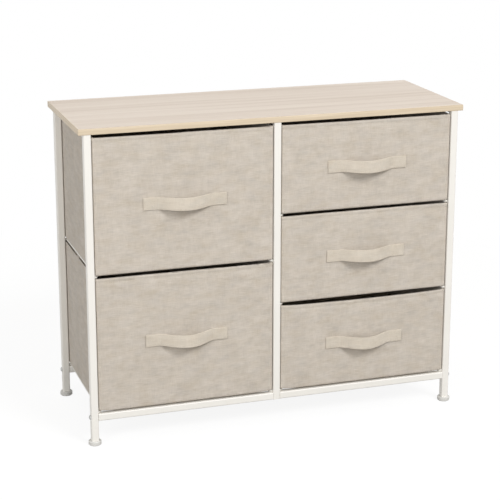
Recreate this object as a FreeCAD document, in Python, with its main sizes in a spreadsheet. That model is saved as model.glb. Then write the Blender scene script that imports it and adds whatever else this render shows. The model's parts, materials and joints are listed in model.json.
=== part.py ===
import FreeCAD, Part
import os
import Sketcher
from FreeCAD import Placement, Rotation, Vector

# Fabric drawer dresser: a square-tube steel frame with a panel top and five fabric bins that
# slide on bent rods.  +X runs to the right, -Y is the front, +Z is up.  The origin lies on the
# floor under the middle of the whole object, pulls included.

# --------------------------------------------------------------------------------------------
# Driving dimensions, in millimetres
# --------------------------------------------------------------------------------------------

SIZES = [
    # overall
    ("overall_height", 646.0),
    ("board_width", 800.0),
    ("board_depth", 300.0),
    ("board_thickness", 12.0),
    ("band_thickness", 1.0),        # strip glued round the panel's edge
    ("side_overhang", 10.0),        # panel past the legs, each side
    ("end_overhang", 1.0),          # panel past the legs, front and rear
    # tubes and bars
    ("tube_width", 15.0),
    ("tube_wall", 1.2),
    ("tube_corner", 2.5),
    ("bar_thickness", 5.0),         # flat bars on top of the legs
    ("rail_underside", 51.0),       # bottom rails above the floor
    ("peg_length", 16.0),           # pegs on the centre posts, inside the rails
    ("plug_length", 25.0),
    ("plug_fit", 0.1),              # clearance of plugs, pegs and caps, each side
    ("cap_length", 8.0),
    # runners
    ("rod_diameter", 5.0),
    ("rod_bend", 4.5),              # centreline radius of both bends
    ("rod_stub", 1.0),              # straight end welded to the leg
    ("rod_seat_gap", 0.3),          # lowest rods above the bottom rails
    # bins
    ("top_gap", 7.0),               # bins below the panel
    ("rest_gap", 0.3),              # bins above their rods
    ("rod_clearance", 0.7),         # rods above the bin below
    ("side_gap", 2.0),              # bins to legs and posts
    ("bin_recess", 1.0),            # bin fronts behind the legs' front faces
    ("bin_rear_gap", 1.0),          # bin backs to the frame's rear face
    ("fabric_thickness", 1.5),
    ("bin_corner", 3.0),
    ("card_thickness", 2.5),
    ("hem_depth", 8.0),             # bin rim above the cards
    ("base_thickness", 5.0),
    ("base_clearance", 1.0),
    # pulls
    ("pull_length", 170.0),
    ("pull_width", 25.0),
    ("pull_thickness", 3.0),
    ("pull_tab", 29.0),             # each sewn end
    ("pull_reach", 24.0),           # front of the strap past the bin's front
    # feet
    ("foot_diameter", 26.0),
    ("foot_height", 9.0),
    ("foot_chamfer", 1.5),
    ("stem_diameter", 8.0),
    ("stem_length", 28.0),
    ("stem_clearance", 0.05),       # radial, stem in insert
    ("insert_length", 20.0),
    # fasteners
    ("bolt_diameter", 6.0),
    ("bolt_head_diameter", 10.5),
    ("bolt_head_height", 3.0),
    ("bolt_rim", 0.8),              # upright edge of the button head
    ("bolt_crown_diameter", 6.4),   # flat on top of the button head
    ("bolt_grip", 18.0),            # bolt inside the plug
    ("bolt_clearance", 0.2),        # radial, bolt through the leg's walls
    ("socket_width", 4.0),          # hexagon across its corners
    ("socket_depth", 1.8),
    ("screw_diameter", 4.0),
    ("screw_head_diameter", 8.0),
    ("screw_head_height", 2.4),
    ("screw_crown_diameter", 5.6),
    ("screw_grip", 9.0),            # screw inside the panel
    ("screw_clearance", 0.2),       # radial, screw through the bar
    ("screw_inset", 55.0),          # screws to the bar's ends
]

doc = FreeCAD.newDocument("fabric_drawer_dresser")
sheet = doc.addObject("Spreadsheet::Sheet", "sizes")
for row, (alias, size) in enumerate(SIZES, start=1):
    sheet.set(f"A{row}", alias)
    sheet.set(f"B{row}", str(size))
    sheet.setAlias(f"B{row}", alias)
doc.recompute()

# --------------------------------------------------------------------------------------------
# Measures worked out from the sheet, kept as expressions
# --------------------------------------------------------------------------------------------

HALF_TUBE = "(sizes.tube_width / 2)"
BORE_WIDTH = "(sizes.tube_width - 2 * sizes.tube_wall)"
PLUG_WIDTH = f"({BORE_WIDTH} - 2 * sizes.plug_fit)"

# the pulls reach further forward than the feet or the panel reach back, so the frame's middle
# lies behind the origin by half of the difference
REAR_REACH = "max(sizes.end_overhang; (sizes.foot_diameter - sizes.tube_width) / 2)"
MIDDLE_Y = f"((sizes.pull_reach - sizes.bin_recess - {REAR_REACH}) / 2)"

FRAME_DEPTH = "(sizes.board_depth - 2 * sizes.end_overhang)"
FRAME_FRONT = f"({MIDDLE_Y} - {FRAME_DEPTH} / 2)"
LEG_X = f"(sizes.board_width / 2 - sizes.side_overhang - {HALF_TUBE})"
FRONT_LEG_Y = f"({FRAME_FRONT} + {HALF_TUBE})"
REAR_LEG_Y = f"({FRAME_FRONT} + {FRAME_DEPTH} - {HALF_TUBE})"
COLUMN_WIDTH = f"({LEG_X} - sizes.tube_width)"
COLUMN_X = f"({LEG_X} / 2)"

BOARD_UNDERSIDE = "(sizes.overall_height - sizes.board_thickness)"
BAR_UNDERSIDE = f"({BOARD_UNDERSIDE} - sizes.bar_thickness)"
RAIL_TOP = "(sizes.rail_underside + sizes.tube_width)"
RAIL_Z = f"(sizes.rail_underside + {HALF_TUBE})"
SCREW_OFFSET = f"({FRAME_DEPTH} / 2 - sizes.screw_inset)"

BIN_GAP = "(sizes.rod_diameter + sizes.rest_gap + sizes.rod_clearance)"
BIN_FLOOR = f"({RAIL_TOP} + sizes.rod_seat_gap + sizes.rod_diameter + sizes.rest_gap)"
BIN_CEILING = f"({BOARD_UNDERSIDE} - sizes.top_gap)"
BIN_WIDTH = f"({COLUMN_WIDTH} - 2 * sizes.side_gap)"
BIN_FRONT = f"({FRAME_FRONT} + sizes.bin_recess)"
BIN_DEPTH = f"({FRAME_DEPTH} - sizes.bin_recess - sizes.bin_rear_gap)"
BIN_Y = f"({BIN_FRONT} + {BIN_DEPTH} / 2)"
LINED_WIDTH = f"({BIN_WIDTH} - 2 * sizes.fabric_thickness)"
LINED_DEPTH = f"({BIN_DEPTH} - 2 * sizes.fabric_thickness)"

# name, side of the centre post (-1 left, 1 right), place from the bottom, bins in that column
DRAWERS = [
    ("upper_left", -1, 1, 2),
    ("lower_left", -1, 0, 2),
    ("upper_right", 1, 2, 3),
    ("middle_right", 1, 1, 3),
    ("lower_right", 1, 0, 3),
]


def bin_height(count):
    """Height of one bin in a column that holds count equal bins."""
    return f"(({BIN_CEILING} - {BIN_FLOOR} - {count - 1} * {BIN_GAP}) / {count})"


def bin_bottom(level, count):
    """Underside of the bin at a level, counted from 0 at the bottom."""
    return f"({BIN_FLOOR} + {level} * ({bin_height(count)} + {BIN_GAP}))"


# --------------------------------------------------------------------------------------------
# Helpers for sketches, features and placements
# --------------------------------------------------------------------------------------------

# a constraint counts the points of a line or arc from 1, and the sketch's own axes down from -1
START, END, CENTRE = range(1, 4)
H_AXIS, V_AXIS = range(-1, -3, -1)
ORIGIN_POINT = (H_AXIS, START)


def value(expression):
    """Number that an expression over the sheet stands for."""
    result = sheet.evalExpression(expression)
    return float(getattr(result, "Value", result))


def new_body(label):
    body = doc.addObject("PartDesign::Body", label)
    body.Label = label
    return body


def origin_feature(body, role):
    return next(item for item in body.Origin.OriginFeatures if item.Role == role)


def new_sketch(body, plane, name, offset=None):
    """Sketch on one of the body's own origin planes, moved along its normal by an expression."""
    sketch = body.newObject("Sketcher::SketchObject", f"{body.Name}_{name}")
    sketch.AttachmentSupport = (origin_feature(body, plane), [""])
    sketch.MapMode = "FlatFace"
    if offset:
        sketch.setExpression("AttachmentOffset.Base.z", offset)
    return sketch


def bind(sketch, kind, *where, size):
    """Dimension of a sketch, tied to an expression."""
    index = sketch.addConstraint(Sketcher.Constraint(kind, *where, value(size)))
    sketch.setExpression(f"Constraints[{index}]", size)


def add_rectangle(sketch, width, height):
    """Rectangle centred on the sketch's origin."""
    half_w = value(width) / 2
    half_h = value(height) / 2
    corners = [
        Vector(-half_w, -half_h, 0),
        Vector(half_w, -half_h, 0),
        Vector(half_w, half_h, 0),
        Vector(-half_w, half_h, 0),
    ]
    lines = []
    for start, end in zip(corners, corners[1:] + corners[:1]):
        lines.append(sketch.addGeometry(Part.LineSegment(start, end), False))
    for line, following in zip(lines, lines[1:] + lines[:1]):
        sketch.addConstraint(Sketcher.Constraint("Coincident", line, END, following, START))
    bottom, right, top, left = lines
    sketch.addConstraint(Sketcher.Constraint("Horizontal", bottom))
    sketch.addConstraint(Sketcher.Constraint("Horizontal", top))
    sketch.addConstraint(Sketcher.Constraint("Vertical", right))
    sketch.addConstraint(Sketcher.Constraint("Vertical", left))
    sketch.addConstraint(Sketcher.Constraint("Symmetric", bottom, START, right, END, *ORIGIN_POINT))
    bind(sketch, "DistanceX", bottom, START, bottom, END, size=width)
    bind(sketch, "DistanceY", right, START, right, END, size=height)


def place_point(sketch, geometry, point, x, y):
    """Tie a point to the sketch's origin by two signed expressions; None means on that axis."""
    if x is None:
        sketch.addConstraint(Sketcher.Constraint("PointOnObject", geometry, point, V_AXIS))
    else:
        bind(sketch, "DistanceX", *ORIGIN_POINT, geometry, point, size=x)
    if y is None:
        sketch.addConstraint(Sketcher.Constraint("PointOnObject", geometry, point, H_AXIS))
    else:
        bind(sketch, "DistanceY", *ORIGIN_POINT, geometry, point, size=y)


def add_circle(sketch, diameter, x=None, y=None):
    centre = Vector(value(x) if x else 0, value(y) if y else 0, 0)
    normal = Vector(0, 0, 1)
    circle = sketch.addGeometry(Part.Circle(centre, normal, value(diameter) / 2), False)
    place_point(sketch, circle, CENTRE, x, y)
    bind(sketch, "Diameter", circle, size=diameter)


def add_outline(sketch, points):
    """Closed outline of straight lines through points given as pairs of expressions."""
    places = [Vector(value(x or "0"), value(y or "0"), 0) for x, y in points]
    lines = []
    for start, end in zip(places, places[1:] + places[:1]):
        lines.append(sketch.addGeometry(Part.LineSegment(start, end), False))
    for line, following in zip(lines, lines[1:] + lines[:1]):
        sketch.addConstraint(Sketcher.Constraint("Coincident", line, END, following, START))
    for line, (x, y) in zip(lines, points):
        place_point(sketch, line, START, x, y)


def pad(body, sketch, length, both_ways=False):
    feature = body.newObject("PartDesign::Pad", f"{sketch.Name}_pad")
    feature.Profile = sketch
    feature.setExpression("Length", length)
    if both_ways:
        feature.SideType = "Symmetric"
    doc.recompute()
    return feature


def pocket(body, sketch, length=None, both_ways=False, reverse=False):
    """Cut of a stated depth, or through everything when no depth is given."""
    before = body.Shape.Volume
    feature = body.newObject("PartDesign::Pocket", f"{sketch.Name}_pocket")
    feature.Profile = sketch
    if length:
        feature.setExpression("Length", length)
    else:
        feature.Type = "ThroughAll"
    if both_ways:
        feature.SideType = "Symmetric"
    feature.Reversed = reverse
    doc.recompute()
    if not body.Shape.Volume < before:
        raise RuntimeError(f"{feature.Name} removes nothing")
    return feature


def revolve(body, sketch, axis):
    feature = body.newObject("PartDesign::Revolution", f"{sketch.Name}_revolution")
    feature.Profile = sketch
    feature.ReferenceAxis = (sketch, [axis])
    feature.Angle = 360
    doc.recompute()
    return feature


def round_edges(body, base, direction, radius):
    """Fillet the base's straight edges that run along a direction."""
    names = []
    for number, edge in enumerate(base.Shape.Edges, start=1):
        along = edge.Vertexes[-1].Point - edge.Vertexes[0].Point
        if along.Length > 0 and abs(along.normalize().dot(direction)) > 0.999:
            names.append(f"Edge{number}")
    fillet = body.newObject("PartDesign::Fillet", f"{base.Name}_fillet")
    fillet.Base = (base, names)
    fillet.setExpression("Radius", radius)
    doc.recompute()
    return fillet


def place(item, x="0", y="0", z="0", turned_about=None):
    """Put an object at a point given by expressions, turned half round an axis if one is given."""
    if turned_about:
        item.Placement = Placement(Vector(), Rotation(turned_about, 180))
    item.setExpression(".Placement.Base.x", x)
    item.setExpression(".Placement.Base.y", y)
    item.setExpression(".Placement.Base.z", z)


def group(label, members):
    """One node of several separate solids."""
    compound = doc.addObject("Part::Compound", label)
    compound.Label = label
    compound.Links = members
    return compound


def mirrored_x(side, x):
    """Expression for a distance to the left (-1) or right (1) of the middle."""
    return f"({side} * {x})"


X_DIRECTION = Vector(1, 0, 0)
Y_DIRECTION = Vector(0, 1, 0)
Z_DIRECTION = Vector(0, 0, 1)
SIDES = {"left": -1, "right": 1}
ENDS = {"front": FRONT_LEG_Y, "rear": REAR_LEG_Y}
nodes = []

# --------------------------------------------------------------------------------------------
# Panel top
# --------------------------------------------------------------------------------------------


def make_tabletop():
    """Panel core with six blind pilot holes from below."""
    body = new_body("tabletop")
    outline = new_sketch(body, "XY_Plane", "outline")
    add_rectangle(
        outline,
        "sizes.board_width - 2 * sizes.band_thickness",
        "sizes.board_depth - 2 * sizes.band_thickness",
    )
    pad(body, outline, "sizes.board_thickness")
    holes = new_sketch(body, "XY_Plane", "pilot_holes")
    for x in (f"-{LEG_X}", None, LEG_X):
        for y in (f"-{SCREW_OFFSET}", SCREW_OFFSET):
            add_circle(holes, "sizes.screw_diameter", x, y)
    pocket(body, holes, length="sizes.screw_grip", reverse=True)
    place(body, y=MIDDLE_Y, z=BOARD_UNDERSIDE)
    return body


def make_edge_band():
    """Thin strip that runs right round the panel."""
    body = new_body("edge_band")
    outside = new_sketch(body, "XY_Plane", "outside")
    add_rectangle(outside, "sizes.board_width", "sizes.board_depth")
    pad(body, outside, "sizes.board_thickness")
    inside = new_sketch(body, "XY_Plane", "inside")
    add_rectangle(
        inside,
        "sizes.board_width - 2 * sizes.band_thickness",
        "sizes.board_depth - 2 * sizes.band_thickness",
    )
    pocket(body, inside, both_ways=True)
    place(body, y=MIDDLE_Y, z=BOARD_UNDERSIDE)
    return body


nodes.append(make_tabletop())
nodes.append(make_edge_band())

# --------------------------------------------------------------------------------------------
# Legs, centre posts, flat bars and bottom rails
# --------------------------------------------------------------------------------------------


def square_tube(body, plane, direction, length):
    """Rounded square bar along the plane's normal, still to be hollowed."""
    outline = new_sketch(body, plane, "outline")
    add_rectangle(outline, "sizes.tube_width", "sizes.tube_width")
    blank = pad(body, outline, length)
    round_edges(body, blank, direction, "sizes.tube_corner")


def hollow(body, plane):
    """Square bore right through a tube."""
    bore = new_sketch(body, plane, "bore")
    add_rectangle(bore, BORE_WIDTH, BORE_WIDTH)
    pocket(body, bore, both_ways=True)


def make_leg(end, side):
    """Upright tube from its foot to the flat bar, drilled across for the rail's bolt."""
    body = new_body(f"{end}_{side}_leg")
    square_tube(body, "XY_Plane", Z_DIRECTION, f"{BAR_UNDERSIDE} - sizes.foot_height")
    hollow(body, "XY_Plane")
    hole = new_sketch(body, "YZ_Plane", "bolt_hole")
    add_circle(
        hole,
        "sizes.bolt_diameter + 2 * sizes.bolt_clearance",
        y=f"{RAIL_Z} - sizes.foot_height",
    )
    pocket(body, hole, both_ways=True)
    place(body, mirrored_x(SIDES[side], LEG_X), ENDS[end], "sizes.foot_height")
    return body


def make_centre_post(end):
    """Upright tube between the columns, with a peg on each side for the rails."""
    body = new_body(f"{end}_centre_post")
    square_tube(body, "XY_Plane", Z_DIRECTION, f"{BAR_UNDERSIDE} - sizes.rail_underside")
    # the pegs' middle lies half a tube above the post's lower end
    pegs = new_sketch(body, "YZ_Plane", "pegs")
    half = f"({PLUG_WIDTH} / 2)"
    low = f"({HALF_TUBE} - {half})"
    high = f"({HALF_TUBE} + {half})"
    add_outline(pegs, [(f"-{half}", low), (half, low), (half, high), (f"-{half}", high)])
    pad(body, pegs, "sizes.tube_width + 2 * sizes.peg_length", both_ways=True)
    hollow(body, "XY_Plane")
    place(body, "0", ENDS[end], "sizes.rail_underside")
    return body


def make_top_bar(name, x):
    """Flat bar on top of a front and a rear upright, with two screw holes."""
    body = new_body(f"{name}_top_bar")
    outline = new_sketch(body, "XY_Plane", "outline")
    add_rectangle(outline, "sizes.tube_width", FRAME_DEPTH)
    blank = pad(body, outline, "sizes.bar_thickness")
    round_edges(body, blank, Z_DIRECTION, "sizes.tube_corner")
    holes = new_sketch(body, "XY_Plane", "screw_holes")
    for y in (f"-{SCREW_OFFSET}", SCREW_OFFSET):
        add_circle(holes, "sizes.screw_diameter + 2 * sizes.screw_clearance", y=y)
    pocket(body, holes, both_ways=True)
    place(body, x, MIDDLE_Y, BAR_UNDERSIDE)
    return body


def make_rail(end, side):
    """Bottom cross tube from a leg's inner face to the centre post."""
    body = new_body(f"{end}_{side}_rail")
    square_tube(body, "YZ_Plane", X_DIRECTION, COLUMN_WIDTH)
    hollow(body, "YZ_Plane")
    inner_face = mirrored_x(SIDES[side], f"({LEG_X} - {HALF_TUBE})")
    turn = Z_DIRECTION if side == "right" else None
    place(body, inner_face, ENDS[end], RAIL_Z, turned_about=turn)
    return body


for end in ENDS:
    for side in SIDES:
        nodes.append(make_leg(end, side))
    nodes.append(make_centre_post(end))
nodes.append(make_top_bar("left", f"-{LEG_X}"))
nodes.append(make_top_bar("centre", "0"))
nodes.append(make_top_bar("right", LEG_X))
for end in ENDS:
    for side in SIDES:
        nodes.append(make_rail(end, side))

# --------------------------------------------------------------------------------------------
# Runners
# --------------------------------------------------------------------------------------------

RUNNER_LENGTH = f"({REAR_LEG_Y} - {FRONT_LEG_Y})"


def runner_path(body):
    """Centreline: a stub out of the front leg, a long run to the rear, a stub into the rear leg."""
    path = new_sketch(body, "XY_Plane", "path")
    stub = value("sizes.rod_stub")
    bend = value("sizes.rod_bend")
    length = value(RUNNER_LENGTH)
    run_x = stub + bend
    half_turn_mid = bend * (1 - 0.5 ** 0.5)
    front_stub = path.addGeometry(Part.LineSegment(Vector(0, 0, 0), Vector(stub, 0, 0)), False)
    front_bend = path.addGeometry(
        Part.Arc(
            Vector(stub, 0, 0),
            Vector(run_x - half_turn_mid, half_turn_mid, 0),
            Vector(run_x, bend, 0),
        ),
        False,
    )
    run = path.addGeometry(
        Part.LineSegment(Vector(run_x, bend, 0), Vector(run_x, length - bend, 0)),
        False,
    )
    rear_bend = path.addGeometry(
        Part.Arc(
            Vector(run_x, length - bend, 0),
            Vector(run_x - half_turn_mid, length - half_turn_mid, 0),
            Vector(stub, length, 0),
        ),
        False,
    )
    rear_stub = path.addGeometry(
        Part.LineSegment(Vector(stub, length, 0), Vector(0, length, 0)),
        False,
    )
    path.addConstraint(Sketcher.Constraint("Coincident", front_stub, START, *ORIGIN_POINT))
    path.addConstraint(Sketcher.Constraint("Horizontal", front_stub))
    path.addConstraint(Sketcher.Constraint("Vertical", run))
    path.addConstraint(Sketcher.Constraint("Horizontal", rear_stub))
    path.addConstraint(Sketcher.Constraint("PointOnObject", rear_stub, END, V_AXIS))
    # both bends are drawn anticlockwise, so each starts at the first point given
    path.addConstraint(Sketcher.Constraint("Tangent", front_stub, END, front_bend, START))
    path.addConstraint(Sketcher.Constraint("Tangent", front_bend, END, run, START))
    path.addConstraint(Sketcher.Constraint("Tangent", run, END, rear_bend, START))
    path.addConstraint(Sketcher.Constraint("Tangent", rear_bend, END, rear_stub, START))
    path.addConstraint(Sketcher.Constraint("Equal", front_bend, rear_bend))
    bind(path, "DistanceX", front_stub, START, front_stub, END, size="sizes.rod_stub")
    bind(path, "Radius", front_bend, size="sizes.rod_bend")
    bind(path, "DistanceY", front_stub, START, rear_stub, END, size=RUNNER_LENGTH)
    return path


def make_runner(drawer, side_of_bin, inner_face, z):
    """Bent rod between a front and a rear upright, on the bin's left or right."""
    body = new_body(f"{drawer}_runner_{side_of_bin}")
    path = runner_path(body)
    section = new_sketch(body, "YZ_Plane", "section")
    add_circle(section, "sizes.rod_diameter")
    pipe = body.newObject("PartDesign::AdditivePipe", f"{body.Name}_pipe")
    pipe.Profile = section
    pipe.Spine = path
    doc.recompute()
    turn = Y_DIRECTION if side_of_bin == "right" else None
    place(body, inner_face, FRONT_LEG_Y, z, turned_about=turn)
    return body


for drawer, column, level, count in DRAWERS:
    rod_z = f"({bin_bottom(level, count)} - sizes.rest_gap - sizes.rod_diameter / 2)"
    column_middle = mirrored_x(column, COLUMN_X)
    left_face = f"({column_middle} - {COLUMN_WIDTH} / 2)"
    right_face = f"({column_middle} + {COLUMN_WIDTH} / 2)"
    nodes.append(make_runner(drawer, "left", left_face, rod_z))
    nodes.append(make_runner(drawer, "right", right_face, rod_z))

# --------------------------------------------------------------------------------------------
# Plugs, inserts, caps and feet
# --------------------------------------------------------------------------------------------


def square_plug(name, plane, length, bore=None):
    """Square block that fills a tube's end, bored along its length if a bore is given."""
    body = new_body(name)
    outline = new_sketch(body, plane, "outline")
    add_rectangle(outline, PLUG_WIDTH, PLUG_WIDTH)
    pad(body, outline, length)
    if bore:
        hole = new_sketch(body, plane, "bore")
        add_circle(hole, bore)
        pocket(body, hole, both_ways=True)
    return body


def make_rail_end_plugs():
    plugs = []
    for end in ENDS:
        for side in SIDES:
            plug = square_plug(
                f"{end}_{side}_end_plug", "YZ_Plane", "sizes.plug_length", "sizes.bolt_diameter"
            )
            inner_face = mirrored_x(SIDES[side], f"({LEG_X} - {HALF_TUBE})")
            turn = Z_DIRECTION if side == "right" else None
            place(plug, inner_face, ENDS[end], RAIL_Z, turned_about=turn)
            plugs.append(plug)
    return group("rail_end_plugs", plugs)


def make_leg_inserts():
    inserts = []
    for end in ENDS:
        for side in SIDES:
            insert = square_plug(
                f"{end}_{side}_insert",
                "XY_Plane",
                "sizes.insert_length",
                "sizes.stem_diameter + 2 * sizes.stem_clearance",
            )
            place(insert, mirrored_x(SIDES[side], LEG_X), ENDS[end], "sizes.foot_height")
            inserts.append(insert)
    return group("leg_inserts", inserts)


def make_post_end_caps():
    caps = []
    for end in ENDS:
        cap = square_plug(f"{end}_post_cap", "XY_Plane", "sizes.cap_length")
        place(cap, "0", ENDS[end], "sizes.rail_underside")
        caps.append(cap)
    return group("post_end_caps", caps)


def make_foot(end, side):
    """Round pad on a threaded stem, which turns in the leg's insert."""
    body = new_body(f"{end}_{side}_foot")
    profile = new_sketch(body, "XZ_Plane", "profile")
    pad_radius = "(sizes.foot_diameter / 2)"
    chamfered = f"({pad_radius} - sizes.foot_chamfer)"
    stem_radius = "(sizes.stem_diameter / 2)"
    stem_top = "(sizes.foot_height + sizes.stem_length)"
    add_outline(
        profile,
        [
            (None, None),
            (chamfered, None),
            (pad_radius, "sizes.foot_chamfer"),
            (pad_radius, "sizes.foot_height - sizes.foot_chamfer"),
            (chamfered, "sizes.foot_height"),
            (stem_radius, "sizes.foot_height"),
            (stem_radius, stem_top),
            (None, stem_top),
        ],
    )
    revolve(body, profile, "V_Axis")
    place(body, mirrored_x(SIDES[side], LEG_X), ENDS[end], "0")
    return body


nodes.append(make_rail_end_plugs())
nodes.append(make_leg_inserts())
nodes.append(make_post_end_caps())
for end in ENDS:
    for side in SIDES:
        nodes.append(make_foot(end, side))

# --------------------------------------------------------------------------------------------
# Bolts and screws
# --------------------------------------------------------------------------------------------


def add_hexagon(sketch, across_corners):
    """Regular hexagon on the sketch's origin, with a corner on the horizontal axis."""
    radius = value(across_corners) / 2
    guide = sketch.addGeometry(Part.Circle(Vector(), Vector(0, 0, 1), radius), True)
    sketch.addConstraint(Sketcher.Constraint("Coincident", guide, CENTRE, *ORIGIN_POINT))
    bind(sketch, "Diameter", guide, size=across_corners)
    corners = [Rotation(Z_DIRECTION, 60 * turn).multVec(Vector(radius, 0, 0)) for turn in range(6)]
    lines = []
    for start, end in zip(corners, corners[1:] + corners[:1]):
        lines.append(sketch.addGeometry(Part.LineSegment(start, end), False))
    for line, following in zip(lines, lines[1:] + lines[:1]):
        sketch.addConstraint(Sketcher.Constraint("Coincident", line, END, following, START))
    for line in lines:
        sketch.addConstraint(Sketcher.Constraint("PointOnObject", line, START, guide))
    for line in lines[1:]:
        sketch.addConstraint(Sketcher.Constraint("Equal", lines[0], line))
    sketch.addConstraint(Sketcher.Constraint("PointOnObject", lines[0], START, H_AXIS))


def make_bolt(name):
    """Button-head bolt along +X, its head's underside at the origin, with a hexagon socket."""
    body = new_body(name)
    profile = new_sketch(body, "XY_Plane", "profile")
    shank = "(sizes.bolt_diameter / 2)"
    head = "(sizes.bolt_head_diameter / 2)"
    crown = "(sizes.bolt_crown_diameter / 2)"
    tip = "(sizes.tube_width + sizes.bolt_grip)"
    add_outline(
        profile,
        [
            ("-sizes.bolt_head_height", None),
            (tip, None),
            (tip, shank),
            (None, shank),
            (None, head),
            ("-sizes.bolt_rim", head),
            ("-sizes.bolt_head_height", crown),
        ],
    )
    revolve(body, profile, "H_Axis")
    socket = new_sketch(body, "YZ_Plane", "socket", offset="-sizes.bolt_head_height")
    add_hexagon(socket, "sizes.socket_width")
    pocket(body, socket, length="sizes.socket_depth", reverse=True)
    return body


def make_rail_bolts():
    bolts = []
    for end in ENDS:
        for side in SIDES:
            bolt = make_bolt(f"{end}_{side}_bolt")
            outer_face = mirrored_x(SIDES[side], f"({LEG_X} + {HALF_TUBE})")
            turn = Z_DIRECTION if side == "right" else None
            place(bolt, outer_face, ENDS[end], RAIL_Z, turned_about=turn)
            bolts.append(bolt)
    return group("rail_bolts", bolts)


def make_screw(name):
    """Pan-head screw along +Z, its head's upper face at the origin."""
    body = new_body(name)
    profile = new_sketch(body, "XZ_Plane", "profile")
    shank = "(sizes.screw_diameter / 2)"
    head = "(sizes.screw_head_diameter / 2)"
    crown = "(sizes.screw_crown_diameter / 2)"
    tip = "(sizes.bar_thickness + sizes.screw_grip)"
    shoulder = f"({tip} - sizes.screw_diameter)"
    add_outline(
        profile,
        [
            (None, "-sizes.screw_head_height"),
            (crown, "-sizes.screw_head_height"),
            (head, "(-sizes.screw_head_height / 2)"),
            (head, None),
            (shank, None),
            (shank, shoulder),
            (None, tip),
        ],
    )
    revolve(body, profile, "V_Axis")
    return body


def make_board_screws():
    screws = []
    for name, x in (("left", f"-{LEG_X}"), ("centre", "0"), ("right", LEG_X)):
        for end, sign in (("front", "-"), ("rear", "+")):
            screw = make_screw(f"{end}_{name}_screw")
            place(screw, x, f"{MIDDLE_Y} {sign} {SCREW_OFFSET}", BAR_UNDERSIDE)
            screws.append(screw)
    return group("board_screws", screws)


nodes.append(make_rail_bolts())
nodes.append(make_board_screws())

# --------------------------------------------------------------------------------------------
# Drawers: fabric bin, stiffening cards, base board and pull
# --------------------------------------------------------------------------------------------


def make_bin(drawer, x, z, height):
    """Open-topped fabric box."""
    body = new_body(f"{drawer}_bin")
    outline = new_sketch(body, "XY_Plane", "outline")
    add_rectangle(outline, BIN_WIDTH, BIN_DEPTH)
    blank = pad(body, outline, height)
    round_edges(body, blank, Z_DIRECTION, "sizes.bin_corner")
    inside = new_sketch(body, "XY_Plane", "inside", offset="sizes.fabric_thickness")
    add_rectangle(inside, LINED_WIDTH, LINED_DEPTH)
    pocket(body, inside, reverse=True)
    place(body, x, BIN_Y, z)
    return body


def make_box(name, width, depth, height, x, y, z):
    """Plain block, centred on x and y and standing on z."""
    box = doc.addObject("Part::Box", name)
    box.Label = name
    box.setExpression("Length", width)
    box.setExpression("Width", depth)
    box.setExpression("Height", height)
    place(box, f"{x} - ({width}) / 2", f"{y} - ({depth}) / 2", z)
    return box


def make_cards(drawer, x, z, height):
    """Front and rear cards across the full width, and side cards between them."""
    card_height = f"({height} - sizes.fabric_thickness - sizes.hem_depth)"
    bottom = f"({z} + sizes.fabric_thickness)"
    thickness = "sizes.card_thickness"
    side_depth = f"({LINED_DEPTH} - 2 * sizes.card_thickness)"
    end_offset = f"(({LINED_DEPTH} - sizes.card_thickness) / 2)"
    side_offset = f"(({LINED_WIDTH} - sizes.card_thickness) / 2)"
    cards = []
    for place_name, sign in (("front", "-"), ("rear", "+")):
        y = f"({BIN_Y} {sign} {end_offset})"
        name = f"{drawer}_{place_name}_card"
        cards.append(make_box(name, LINED_WIDTH, thickness, card_height, x, y, bottom))
    for place_name, sign in (("left", "-"), ("right", "+")):
        card_x = f"({x} {sign} {side_offset})"
        name = f"{drawer}_{place_name}_card"
        cards.append(make_box(name, thickness, side_depth, card_height, card_x, BIN_Y, bottom))
    return group(f"{drawer}_cards", cards)


def make_base_board(drawer, x, z):
    """Loose stiff floor inside the cards."""
    margin = "(2 * (sizes.card_thickness + sizes.base_clearance))"
    return make_box(
        f"{drawer}_base_board",
        f"({LINED_WIDTH} - {margin})",
        f"({LINED_DEPTH} - {margin})",
        "sizes.base_thickness",
        x,
        BIN_Y,
        f"({z} + sizes.fabric_thickness)",
    )


# the strap's free part is an arc over the chord between its two sewn tabs
PULL_HALF_CHORD = "(sizes.pull_length / 2 - sizes.pull_tab)"
PULL_RISE = "(sizes.pull_reach - sizes.pull_thickness)"
PULL_INNER_RADIUS = f"(({PULL_HALF_CHORD} ^ 2 + {PULL_RISE} ^ 2) / (2 * {PULL_RISE}))"
PULL_OUTER_RADIUS = f"({PULL_INNER_RADIUS} + sizes.pull_thickness)"
PULL_ARC_CENTRE = f"({PULL_INNER_RADIUS} - {PULL_RISE})"


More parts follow.
